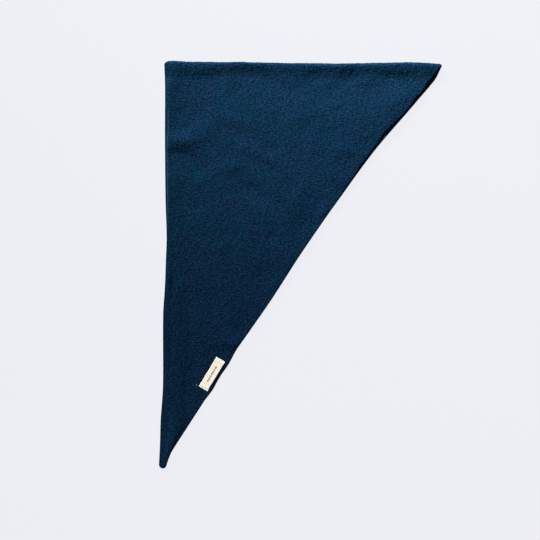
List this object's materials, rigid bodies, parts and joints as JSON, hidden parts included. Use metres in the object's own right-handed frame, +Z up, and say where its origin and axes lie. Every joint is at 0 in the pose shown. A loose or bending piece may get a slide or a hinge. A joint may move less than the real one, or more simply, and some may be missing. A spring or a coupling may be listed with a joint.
{
  "type": "knitted triangle scarf",
  "caption": "Milled knit triangle scarf in dark petrol wool, folded in half and laid flat, with a small cream woven label sewn beside its slanting edge.",
  "frame": {"origin": "under the middle of the folded scarf, on the surface that it lies on", "axes": "+X from the long edge to the corner at the slanting edge, +Y along the long edge from the tips to the fold, +Z up"},
  "size_m": [0.4532, 0.651, 0.0104],
  "materials": {
    "knit_upper": "matt milled wool knit, dark petrol blue",
    "knit_lower": "matt milled wool knit, dark petrol blue",
    "woven_label": "cream woven tape with a faint sheen"
  },
  "bodies": {
    "root": {"upper_half": "knit_upper", "lower_half": "knit_lower", "label": "woven_label"}
  },
  "joints": []
}
